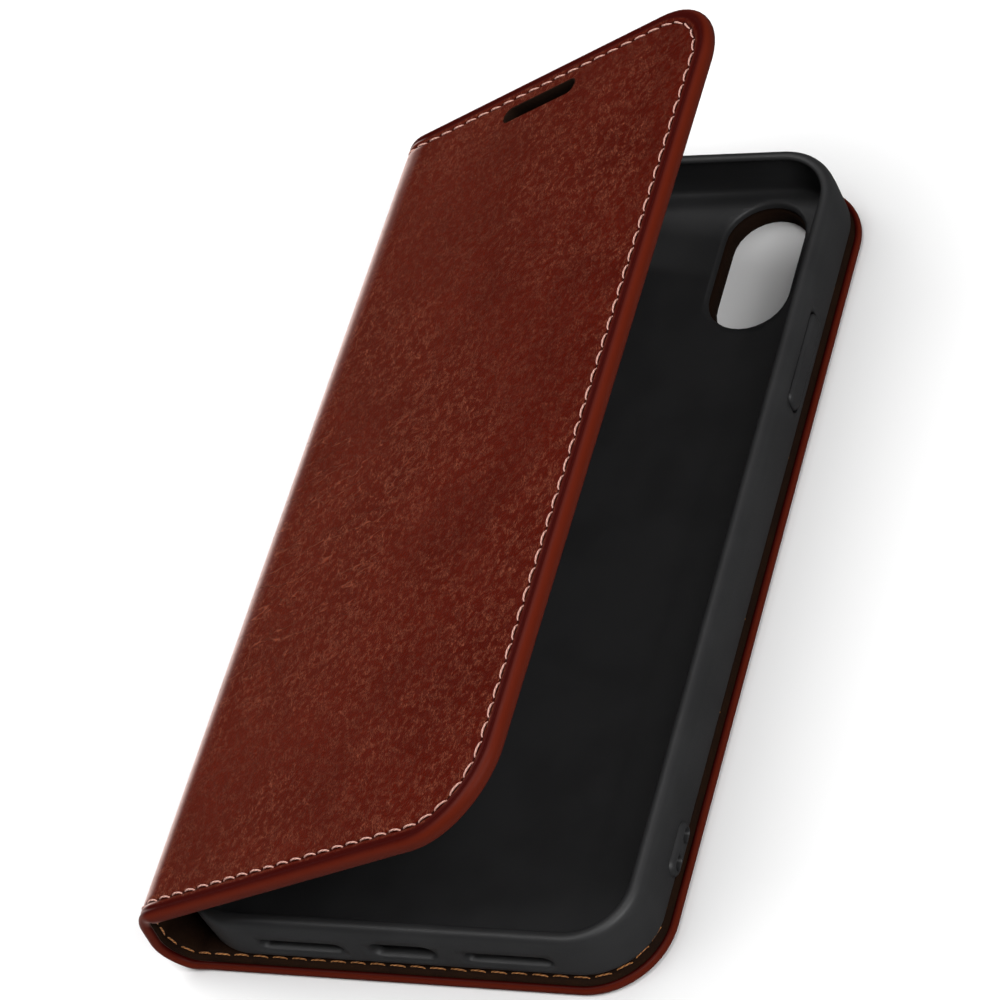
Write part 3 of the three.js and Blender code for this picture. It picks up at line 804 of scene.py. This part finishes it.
def skin_profile(forward):
    """The border of the skin, from the flat outside, over the seam and the rolled edge, to the inside."""
    outside = (
        (5.2, 0.0), (3.9, 0.0), (3.3, -0.02), (3.0, -0.09), (2.8, -0.22), (2.6, -0.29),
        (2.4, -0.22), (2.2, -0.05), (2.0, 0.04), (1.8, 0.03), (1.65, -0.02), (1.5, -0.07),
        (1.35, -0.05), (1.15, 0.0),
    )

    def profile(reach, across):
        top = HALF_SHEET
        low = roll_bottom(forward, reach)
        high = top + 0.04
        rows = [(d, top + h) for d, h in outside]
        half_height = (high - low) / 2
        centre = (high + low) / 2
        for k in range(13):
            angle = math.radians(90 - 15 * k)
            rows.append((1.0 - math.cos(angle), centre + half_height * math.sin(angle)))
        rows += [(1.2, low + 0.08), (1.4, low + 0.3), (1.6, low + 0.5)]
        inner = np.minimum(low + 0.75, top - SKIN - 0.06)
        rows += [(1.6, inner), (1.25, (inner + top - SKIN) / 2), (1.6, top - SKIN)]
        return [(real_inset(forward, reach, d), offset) for d, offset in rows]

    return profile


def ride(obj, body, slot, *nodes):
    """Ties a rigid piece to a body and hides the CAD nodes it stands in for. The slot argument is not used."""
    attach(obj, body)
    if nodes:
        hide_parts(*nodes)


def lay(obj, sheet_place, edge_distance, place):
    """Stores what the materials read, then moves a flat piece to its place in the row frame."""
    points = flat_points(obj)
    reach, across, offset = points.T
    store(obj, "sheet", np.stack([sheet_place(reach), across, offset], axis=1), "FLOAT_VECTOR")
    store(obj, "edge", edge_distance(reach, across))
    set_points(obj, place(points))
    tidy_mesh(obj.data)


def bend_with_fold(obj, forward):
    """Bakes the piece's transform into its mesh; the ends of its cover's bend and its body are worked out but not
    used.
    """
    if forward:
        ends, body = (section.upper_start, section.upper_end), "front"
    else:
        ends, body = (section.lower_end, section.lower_start), "back"
    start, end = section.place(np.array(ends), 0.0, 0.0) * MM
    tuple(start)
    tuple(end)
    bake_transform(obj)


EARPIECE_U, EARPIECE_Y = 37.5, 72.6
EARPIECE_LENGTH, EARPIECE_WIDTH = 18.0, 3.0
CAMERA_X, CAMERA_Y = 24.5, 59.0
CAMERA_WIDTH, CAMERA_LENGTH = 14.0, 26.0
POCKET_END = 76.6


def front_reach(u):
    """Reach of a point of the front cover, from its distance to the fold's axis."""
    return section.front_edge - section.middle - (FRONT_REACH - u)


def back_reach(x):
    """Reach of a point of the back cover, from its place along X."""
    return section.middle - section.lower_start + (x - section.lower_centre[0])


def opening(forward, margin):
    """The outline of the opening through a cover, in reach and across."""
    if forward:
        place = front_reach(EARPIECE_U), EARPIECE_Y
        size = EARPIECE_LENGTH + margin, EARPIECE_WIDTH + margin
    else:
        place = back_reach(CAMERA_X), CAMERA_Y
        size = CAMERA_WIDTH + margin, CAMERA_LENGTH + margin
    return slot_outline(*place, *size)


def make_sheet(name, forward, profile, top, bottom, material, margin, nodes):
    """A cover's skin or lining: built flat, cut for the opening and bent round the section."""
    panel = PANELS[forward]
    points, faces = build_plate(panel, BORDER, reach_stations(forward), GRID_STEP, profile, top, bottom)
    obj = make_object(name, points, faces, material)
    combine(obj, cutter(opening(forward, margin), [(0, -5), (0, 5)]), "DIFFERENCE")
    reach, across, _ = flat_points(obj).T
    store(obj, "seam", panel.seam_distance(reach, across, COVER_SEAM[forward]))
    lay(
        obj, lambda u: to_sheet(forward, u),
        lambda u, v: scaled_inset(forward, u, panel.edge_distance(u, v)),
        lambda flat: to_row(forward, flat),
    )
    bend_with_fold(obj, forward)
    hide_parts(*nodes)


def make_skin(name, forward, nodes):
    make_sheet(
        name, forward, skin_profile(forward),
        lambda u, v: HALF_SHEET + cover_puff(forward, u, v), level(HALF_SHEET - SKIN),
        LEATHER, 0.5, nodes,
    )


def make_lining(name, forward, nodes):
    """The lining: its edge tucks in behind the turned edge of the skin."""
    def profile(reach, across):
        full = inner_offset(forward, reach)
        near = lining_offset(forward, reach, 1.4)
        rows = [(d, lining_offset(forward, reach, d)) for d in (5.0, 4.2, 3.6, 3.1)]
        for d, sink in ((2.85, 0.07), (2.6, 0.13), (2.35, 0.07), (2.1, 0.0), (1.75, 0.0)):
            rows.append((d, lining_offset(forward, reach, d) + sink))
        rows += [(1.45, near + 0.03), (1.35, near + 0.16), (1.45, near + 0.3), (2.0, near + 0.36)]
        rows += [(3.5, full + LINING_SKIN - 0.02), (5.0, full + LINING_SKIN)]
        return [(real_inset(forward, reach, d), offset) for d, offset in rows]

    make_sheet(
        name, forward, profile,
        lambda u, v: inner_offset(forward, u), lambda u, v: inner_offset(forward, u) + LINING_SKIN,
        LINING, 0.9, nodes,
    )


def make_opening_rim(name, forward, body, low, high):
    """The finished edge round an opening, through every layer of a cover."""
    rows = [(0.0, low + 0.15), (0.12, low), (0.75, low - 0.02), (0.8, low + 0.2)]
    rows += [(0.8, high - 0.9), (0.22, high - 0.85), (0.22, high - 0.06)]
    rows += [(0.12, high), (0.04, high - 0.04), (0.0, high - 0.2)]
    obj = make_object(name, *loft(opening(forward, 0.0), rows, closed=True), LINING)
    lay(
        obj, lambda u: to_sheet(forward, u), lambda u, v: SEAM_INSET + 0 * u,
        lambda flat: to_row(forward, flat),
    )
    ride(obj, body, "lining")


make_skin("front_skin", True, ["front_cover_leather", "spine_leather"])
make_skin("back_skin", False, ["back_cover_leather"])
make_lining("front_lining_cloth", True, ["front_lining", "spine_lining"])
make_lining("back_lining_cloth", False, ["back_lining"])
make_opening_rim("earpiece_rim", True, "front", -1.5, 1.0)
make_opening_rim("camera_rim", False, "back", -1.95, 0.95)


# ---- Stitches


def thread_tube(path, radius):
    """A closed tube along a path of points, with its twist for the thread's ply."""
    sides, ply_pitch = 7, 0.9
    path = np.array(path)
    tangent = np.gradient(path, axis=0)
    tangent /= np.linalg.norm(tangent, axis=1)[:, None]
    up = np.array([0.0, 0.0, 1.0])
    side = np.cross(tangent, up)
    side /= np.linalg.norm(side, axis=1)[:, None]
    top = np.cross(side, tangent)
    length = np.concatenate([[0], np.cumsum(np.linalg.norm(np.diff(path, axis=0), axis=1))])
    points, twist, faces = [], [], []
    for k, centre in enumerate(path):
        thick = radius * (1 - 0.45 * abs(2 * k / (len(path) - 1) - 1) ** 2.5)
        for m in range(sides):
            angle = 2 * math.pi * m / sides
            points.append(centre + thick * (side[k] * math.cos(angle) + top[k] * math.sin(angle)))
            twist.append(length[k] / ply_pitch + abs(2 * m / sides - 1))
    rows = len(path)
    for k in range(rows - 1):
        for m in range(sides):
            n = (m + 1) % sides
            faces.append((k * sides + m, k * sides + n, (k + 1) * sides + n, (k + 1) * sides + m))
    faces.append(tuple(range(sides - 1, -1, -1)))
    faces.append(tuple((rows - 1) * sides + m for m in range(sides)))
    return points, twist, faces


def stitch_path(seam_point, start, length, shape, surface, outward):
    """One stitch: it rises out of one hole, bows to one side and drops into the next."""
    slant, bow, crest, dip = shape
    path = []
    for t in np.linspace(-1, 1, 11):
        reach, across, normal = seam_point(start + length * (t + 1) / 2)
        shift = slant * t + bow * (1 - t * t)
        height = crest - dip * abs(t) ** 3.2
        x, y = reach + normal[0] * shift, across + normal[1] * shift
        path.append((x, y, surface(x) + outward * height))
    return path


def make_stitches(name, seam_point, half_length, pitch, shape, radius, surface, outward, material, place):
    """A row of separate stitches. place maps flat points to the row frame."""
    points, twist, faces = [], [], []
    rng = np.random.default_rng(len(name))
    for k in range(int(2 * half_length // pitch)):
        wobble = rng.normal(0, 0.035, 3)
        run = pitch * 0.91 + wobble[0]
        start = k * pitch + pitch * 0.045
        bent = (shape[0] + wobble[1], shape[1] + wobble[2], shape[2], shape[3])
        path = stitch_path(seam_point, start, run, bent, surface, outward)
        tube_points, tube_twist, tube_faces = thread_tube(path, radius)
        base = len(points)
        points += tube_points
        twist += tube_twist
        faces += [tuple(base + i for i in face) for face in tube_faces]
    obj = make_object(name, place(np.array(points)), faces, material)
    store(obj, "twist", twist)
    return obj


def make_seam(name, forward, outside, nodes):
    seam = COVER_SEAM[forward]

    def seam_point(distance):
        reach, across, normal = PANELS[forward].seam_point(distance, seam)
        move = seam - float(real_inset(forward, reach, SEAM_INSET))
        return reach + normal[0] * move, across + normal[1] * move, normal

    def inner_surface(reach):
        return float(lining_offset(forward, np.array(reach), SEAM_INSET))

    half_length = PANELS[forward].seam_parts(seam)[2]
    if outside:
        crest = 0.0 if forward else -0.2
        row = OUTER_PITCH, (0.12, -0.16, crest, 0.5), 0.155, lambda reach: HALF_SHEET, 1.0, PALE_THREAD
    else:
        row = INNER_PITCH, (0.04, -0.05, 0.0, 0.42), 0.145, inner_surface, -1.0, AMBER_THREAD
    obj = make_stitches(name, seam_point, half_length, *row, lambda points: to_row(forward, points))
    bend_with_fold(obj, forward)
    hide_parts(*nodes)


make_seam("front_outer_stitches", True, True,
          ["front_outer_thread", "spine_outer_thread_top", "spine_outer_thread_bottom"])
make_seam("back_outer_stitches", False, True, ["back_outer_thread"])
make_seam("front_inner_stitches", True, False,
          ["front_inner_thread", "spine_inner_thread_top", "spine_inner_thread_bottom"])
make_seam("back_inner_stitches", False, False, ["back_inner_thread"])


# ---- Pockets


def make_pocket(name, nodes, mouth, low, high, layer):
    """A pocket sheet with a turned mouth and sewn sides, slightly full in the middle."""
    thick, corner, seam = 0.34, 12.0, 2.0
    panel = Panel(POCKET_END - mouth, (high - low) / 2, corner)
    centre = (high + low) / 2
    base = -HALF_SHEET - (FRONT_THICKNESS - 2 * HALF_SHEET) - 0.02 - layer * 0.38

    def hem(reach):
        return 0.10 * (1 - smooth((reach - 0.2) / 1.6))

    def fullness(reach, across):
        edge = panel.edge_distance(reach, across)
        return -hem(reach) - 0.12 * smooth((edge - 3) / 8) * (1 - 0.5 * layer / 2)

    def profile(reach, across):
        top = base - thick - hem(reach)
        rows = [(2.6, top), (2.3, top + 0.05), (2.0, top + 0.1), (1.7, top + 0.05), (1.4, top)]
        rows += [(0.6, top), (0.2, top + 0.05), (0.0, top + 0.2), (0.1, base - 0.02), (0.5, base)]
        return rows

    def sheet_place(reach):
        return section.middle + front_reach(mouth) + reach

    def edge_distance(reach, across):
        return np.minimum(panel.edge_distance(reach, across), np.maximum(reach, 0))

    def place(flat):
        return section.place(sheet_place(flat[:, 0]), flat[:, 1] + centre, flat[:, 2])

    points, faces = build_plate(
        panel, 3.2, steps(0, panel.length - corner, 1.6), GRID_STEP, profile,
        lambda u, v: base - thick + fullness(u, v), level(base),
    )
    obj = make_object(name, points, faces, POCKET)
    lay(obj, sheet_place, edge_distance, place)
    ride(obj, "front", "lining", nodes[0])

    rows = (
        ("_side_stitches", lambda d: panel.seam_point(d, seam), panel.seam_parts(seam)[2], 0.02, nodes[1:]),
        ("_mouth_stitches", lambda d: (1.9, 3 - panel.half + d, (-1.0, 0.0)), panel.half - 3, 0.06, ()),
    )
    for ending, seam_point, half_length, crest, replaced in rows:
        row = make_stitches(
            name + ending, seam_point, half_length, POCKET_PITCH, (0.04, -0.05, crest, 0.4), 0.16,
            lambda reach: base - thick + 0.05, -1.0, AMBER_THREAD, place,
        )
        ride(row, "front", "amber_thread", *replaced)


make_pocket("bill_pocket", ["bill_pocket_panel"], 14, -75.2, 62, 0)
make_pocket("rear_card_pocket", ["card_pocket_rear_panel"], 27, -70, 24, 1)
make_pocket("front_card_pocket", ["card_pocket_front_panel", "card_pocket_thread"], 40, -70, 24, 2)


# ---- Tray

tray_low, tray_high = box_mm("phone_tray")
TRAY_HALF_WIDTH = 39.65
TRAY_HALF_LENGTH = (tray_high[1] - tray_low[1]) / 2
TRAY_BOTTOM, TRAY_TOP = tray_low[2], tray_high[2]
TRAY_FLOOR = TRAY_BOTTOM + 1.2
TRAY_CORNER = 11.3
FOOT_ROUND, FOOT_ROUND_AT_ENDS = 0.5, 1.5
# The wall's section: (distance from the outside, height over the floor) up the inside, then
# (distance from the outside, depth under the top) over the lip and down the outside.
WALL_INSIDE = ((3.4, 0.0), (2.4, 0.06), (1.95, 0.35), (1.75, 0.9), (1.7, 3.5))
WALL_LIP = (
    (1.7, 1.4), (1.78, 1.05), (2.1, 0.85), (2.32, 0.72), (2.42, 0.5), (2.32, 0.24), (2.0, 0.08),
    (1.6, 0.01), (1.2, 0.05), (0.75, 0.28), (0.42, 0.68), (0.2, 1.25), (0.07, 2.1), (0.0, 3.6),
)
# Outlines are drawn in x and y; these turn them to lie in a long wall or in an end wall.
WALL_TURNS = {
    "x": Matrix(((0, 0, 1, 0), (1, 0, 0, 0), (0, 1, 0, 0), (0, 0, 0, 1))),
    "y": Matrix(((1, 0, 0, 0), (0, 0, 1, 0), (0, 1, 0, 0), (0, 0, 0, 1))),
}


def tray_profile(reach, across):
    """The tray's wall, from the floor up the inside, over the lip and down the outside to the foot."""
    rows = [(d, TRAY_FLOOR + h) for d, h in WALL_INSIDE]
    rows += [(d, TRAY_TOP - h) for d, h in WALL_LIP]
    rows.append((0.0, TRAY_BOTTOM + 2.6))
    end = smooth((np.abs(across) - (TRAY_HALF_LENGTH - TRAY_CORNER)) / TRAY_CORNER)
    foot = FOOT_ROUND + end * (FOOT_ROUND_AT_ENDS - FOOT_ROUND)
    for k in range(9):
        angle = math.radians(90 * k / 8)
        rows.append((foot * (1 - math.cos(angle)), TRAY_BOTTOM + 1.2 * foot * (1 - math.sin(angle))))
    return rows


def wall_cutter(outline, surface, direction, bevel, axis):
    """A cutter through a wall, wider by the bevel where it leaves the wall's outside surface."""
    rows = [(0, surface - 3 * direction), (0, surface - bevel * direction), (bevel, surface)]
    rows.append((bevel + 0.6, surface + 1.2 * direction))
    made = cutter(outline, rows)
    made.data.transform(WALL_TURNS[axis])
    tidy_mesh(made.data, False)
    return made


KEY_Z = 7.4
LANYARD_Y, LANYARD_Z, LANYARD_PROUD, LANYARD_PITCH = -55.3, 5.2, 0.8, 4.8
LANYARD_LENGTH, LANYARD_HEIGHT = 9.6, 3.6
# The openings in the bottom wall, as (x, z, length, height).
PORT_SLOTS = ((0.0, 7.8, 11.4, 3.8), (18.0, 7.4, 14.8, 2.7), (-18.0, 7.4, 14.8, 2.7))
PADS = {
    "side_button": ("side_button_pad", 1),
    "volume_up": ("volume_up_pad", -1),
    "volume_down": ("volume_down_pad", -1),
}


def make_lanyard_boss():
    """The long soft lump on the tray's right wall that carries the two cord holes."""
    panel = Panel(LANYARD_LENGTH, LANYARD_HEIGHT / 2, LANYARD_HEIGHT / 2 - 0.05, both_ends=True)

    def profile(reach, across):
        return [(1.0, 0.78), (0.7, 0.7), (0.4, 0.52), (0.15, 0.26), (0.0, -0.05), (0.0, -0.8)]

    points, faces = build_plate(
        panel, 1.3, steps(LANYARD_HEIGHT / 2, LANYARD_LENGTH - LANYARD_HEIGHT / 2, 0.8), 0.4, profile,
        level(LANYARD_PROUD), level(-0.8), corner_steps=6,
    )
    x = TRAY_HALF_WIDTH + points[:, 2]
    y = LANYARD_Y - LANYARD_LENGTH / 2 + points[:, 0]
    return make_object("lanyard_boss", np.stack([x, y, LANYARD_Z + points[:, 1]], axis=1), faces, PLASTIC)


def tray_cutters():
    """Every opening in the tray: ports, button gaps, mute switch, cord holes and camera."""
    cuts = []
    for x, z, length, height in PORT_SLOTS:
        cuts.append(wall_cutter(slot_outline(x, z, length, height), -TRAY_HALF_LENGTH, -1, 0.35, "y"))
    for node, side in PADS.values():
        low, high = box_mm(node)
        middle, size = (low + high) / 2, high - low + 0.5
        outline = slot_outline(middle[1], middle[2], size[1], size[2], 1.5)
        cuts.append(wall_cutter(outline, side * TRAY_HALF_WIDTH, side, 0.1, "x"))
    mute = slot_outline(49, KEY_Z, 8, 3.4)
    cuts.append(wall_cutter(mute, -TRAY_HALF_WIDTH, -1, 0.3, "x"))
    for side in (-1, 1):
        hole = slot_outline(LANYARD_Y + side * LANYARD_PITCH / 2, LANYARD_Z, 2.5, 1.5)
        cuts.append(wall_cutter(hole, TRAY_HALF_WIDTH + LANYARD_PROUD, 1, 0.2, "x"))
    camera = slot_outline(CAMERA_X, CAMERA_Y, CAMERA_WIDTH + 0.8, CAMERA_LENGTH + 0.8)
    rows = [(0, TRAY_BOTTOM - 2), (0, TRAY_FLOOR - 0.4), (0.4, TRAY_FLOOR), (1.0, TRAY_FLOOR + 2)]
    cuts.append(cutter(camera, rows))
    return cuts


def make_tray():
    panel = Panel(2 * TRAY_HALF_WIDTH, TRAY_HALF_LENGTH, TRAY_CORNER, both_ends=True)
    stations = steps(TRAY_CORNER, panel.length - TRAY_CORNER, GRID_STEP)
    points, faces = build_plate(
        panel, 4.6, stations, GRID_STEP, tray_profile,
        level(TRAY_FLOOR), level(TRAY_BOTTOM), corner_steps=12,
    )
    points[:, 0] -= TRAY_HALF_WIDTH
    obj = make_object("tray_shell", points, faces, PLASTIC)
    combine(obj, make_lanyard_boss(), "UNION")
    for cut in tray_cutters():
        combine(obj, cut, "DIFFERENCE")
    tidy_mesh(obj.data)
    ride(obj, "back", "soft_plastic", "phone_tray")


def make_pad(name, node, side, body):
    """A raised press pad with a soft rounded edge and a shallow dished face."""
    low, high = box_mm(node)
    _, centre_y, centre_z = (high + low) / 2
    depth, length, height = high - low
    corner = 1.5
    panel = Panel(length, height / 2, corner, both_ends=True)

    def profile(reach, across):
        rows = [(0.85, depth), (0.5, depth - 0.06), (0.2, depth - 0.24), (0.04, depth - 0.55)]
        return rows + [(0.0, depth - 0.9), (0.0, 0.3), (0.1, 0.08), (0.3, 0.0)]

    points, faces = build_plate(
        panel, 1.2, steps(corner, length - corner, 0.8), 0.4, profile,
        level(depth - 0.02), level(0.0), corner_steps=5,
    )
    x = low[0] + points[:, 2] if side > 0 else high[0] - points[:, 2]
    y = points[:, 0] - length / 2 + centre_y
    z = points[:, 1] + centre_z
    obj = make_object(name, np.stack([x, y, z], axis=1), faces, PLASTIC)
    ride(obj, body, "soft_plastic", node)


make_tray()
for body, (node, side) in PADS.items():
    make_pad(body + "_press", node, side, body)

node_slots = {part["node"]: part["material_slot"] for part in frame["record"]["subparts"]}
for obj in frame["nodes"].values():
    material = HIDDEN.get(node_slots.get(obj.name))
    if material:
        for material_slot in obj.material_slots:
            material_slot.material = material


# ---- Floor, light and camera

GLASS_CENTRE = Vector((0.0, 0.0, 12.8)) * MM
CAMERA_PLACE = Vector((269.57, -311.62, 463.39)) * MM
CAMERA_AZIMUTH, CAMERA_ELEVATION, CAMERA_ROLL = 40.68, 47.04, -32.04
LENS = 134.73
PRINCIPAL_SHIFT = (-0.0088, -0.0119)
WORLD_LOW, WORLD_HIGH = 0.02, 0.95
FLOOR_HALF, FLOOR_GAP = 1500, 0.15


def make_floor():
    p = Paint("floor", (0.9, 0.9, 0.9))
    mirrored = p.node("ShaderNodeLightPath").outputs["Is Glossy Ray"]
    tone = p.mix(mirrored, (0.92, 0.92, 0.92), (0.12, 0.12, 0.12))
    material = p.finish(tone, 0.9, Specular_IOR_Level=0.0)
    corners = [(-1, -1), (1, -1), (1, 1), (-1, 1)]
    points = [(FLOOR_HALF * x, FLOOR_HALF * y, 0) for x, y in corners]
    floor = make_object("floor", points, [(0, 1, 2, 3)], material, smooth_shade=False)
    floor.location.z = -FLOOR_GAP * MM


def make_light(name, place, size, power):
    data = bpy.data.lights.new(name, "AREA")
    data.shape = "RECTANGLE"
    data.size, data.size_y = size, size
    data.energy = power
    light = link(name, data)
    light.location = place
    light.rotation_euler = (GLASS_CENTRE - Vector(place)).to_track_quat("-Z", "Y").to_euler()


def make_camera():
    azimuth, elevation, roll = map(math.radians, (CAMERA_AZIMUTH, CAMERA_ELEVATION, CAMERA_ROLL))
    flat = math.cos(elevation)
    back = Vector((math.sin(azimuth) * flat, -math.cos(azimuth) * flat, math.sin(elevation)))
    level = Vector((math.cos(azimuth), math.sin(azimuth), 0))
    upright = back.cross(level)
    right = level * math.cos(roll) + upright * math.sin(roll)
    up = back.cross(right)
    data = bpy.data.cameras.new("camera")
    data.lens = LENS
    data.sensor_width = 36
    data.shift_x, data.shift_y = PRINCIPAL_SHIFT
    data.clip_start, data.clip_end = 0.01, 10
    camera = link("camera", data)
    turn = Matrix((right, up, back)).transposed().to_4x4()
    camera.matrix_world = Matrix.Translation(CAMERA_PLACE) @ turn
    bpy.context.scene.camera = camera


def make_world():
    """White behind the object for the camera; a soft overhead glow for everything else."""
    world = bpy.data.worlds.new("studio")
    bpy.context.scene.world = world
    world.use_nodes = True
    n = Nodes(world.node_tree)
    place = n.node("ShaderNodeTexCoord").outputs["Generated"]
    height = n.node("ShaderNodeSeparateXYZ", {0: place}).outputs["Z"]
    glow = n.ramp(height, 0.5, 0.95, WORLD_LOW, WORLD_HIGH)
    seen = n.node("ShaderNodeLightPath").outputs["Is Camera Ray"]
    strength = n.node("ShaderNodeMix", {0: seen, 2: glow, 3: 1.0}).outputs[0]
    n.feed(world.node_tree.nodes["Background"].inputs["Strength"], strength)


make_floor()
make_world()
make_light("key", (-0.30, 0.0, 0.85), 0.9, 11.0)
make_light("fill", (0.55, -0.25, 0.6), 0.4, 4.0)
make_camera()
bpy.context.scene.view_settings.view_transform = "Standard"
